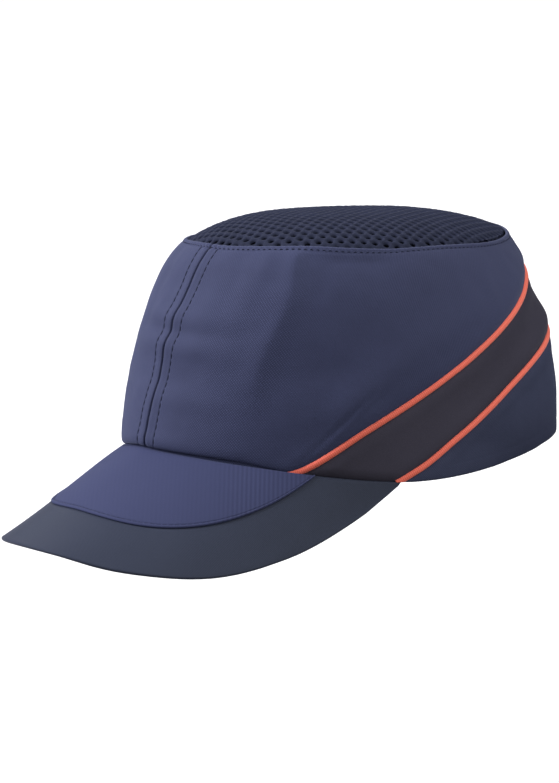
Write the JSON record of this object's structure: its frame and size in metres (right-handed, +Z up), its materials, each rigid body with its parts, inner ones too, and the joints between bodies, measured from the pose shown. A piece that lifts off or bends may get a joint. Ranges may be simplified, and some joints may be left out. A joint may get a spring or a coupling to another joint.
{
  "type": "bump cap",
  "caption": "Peaked cloth bump cap with a mesh crown, piped side stripe and rear strap adjuster, holding a removable padded impact shell.",
  "frame": {"origin": "middle of the head opening, level with the lowest part of the rim", "axes": "as worn: -Y is the front, +X the wearer's left, +Z up, and the head leaves along -Z"},
  "size_m": [0.1776, 0.2726, 0.1442],
  "materials": {
    "navy_cloth": "matte",
    "black_satin": "satin",
    "crown_mesh": "matte",
    "coral_piping": "satin",
    "charcoal_border": "satin",
    "peak_board": "matte",
    "sweatband": "matte",
    "webbing": "matte",
    "hook_and_loop": "matte",
    "ring_plastic": "satin",
    "shell_plastic": "satin",
    "foam": "matte"
  },
  "bodies": {
    "cap": {"front_panel_left": "navy_cloth", "front_panel_right": "navy_cloth", "rear_panel_left": "navy_cloth", "rear_panel_right": "navy_cloth", "stripe_panel_left": "black_satin", "stripe_panel_right": "black_satin", "crown_mesh": "crown_mesh", "upper_piping_left": "coral_piping", "upper_piping_right": "coral_piping", "lower_piping_left": "coral_piping", "lower_piping_right": "coral_piping", "front_seam_tape": "webbing", "rear_arch_binding": "webbing", "adjuster_strap": "webbing", "adjuster_tab": "webbing", "loop_patch": "hook_and_loop", "adjuster_ring": "ring_plastic", "peak_board": "peak_board", "peak_top_cover": "navy_cloth", "peak_under_cover": "navy_cloth", "peak_border": "charcoal_border", "sweatband_front": "sweatband", "sweatband_left": "sweatband", "sweatband_right": "sweatband"},
    "shell": {"impact_shell": "shell_plastic", "crown_pad": "foam", "front_pad": "foam", "rear_pad": "foam", "side_pad_left": "foam", "side_pad_right": "foam"},
    "strap_tail": {"strap_tail": "webbing", "hook_patch": "hook_and_loop"}
  },
  "joints": [
    {"name": "shell_lift_out", "type": "slide", "parent": "cap", "child": "shell", "axis": [0, 0, -1], "range_m": [0, 0.15]},
    {"name": "strap_peel", "type": "hinge", "parent": "cap", "child": "strap_tail", "pos_m": [0.0146, 0.10652, 0.022], "axis": [0, 0, -1], "range_deg": [0, 150]}
  ]
}
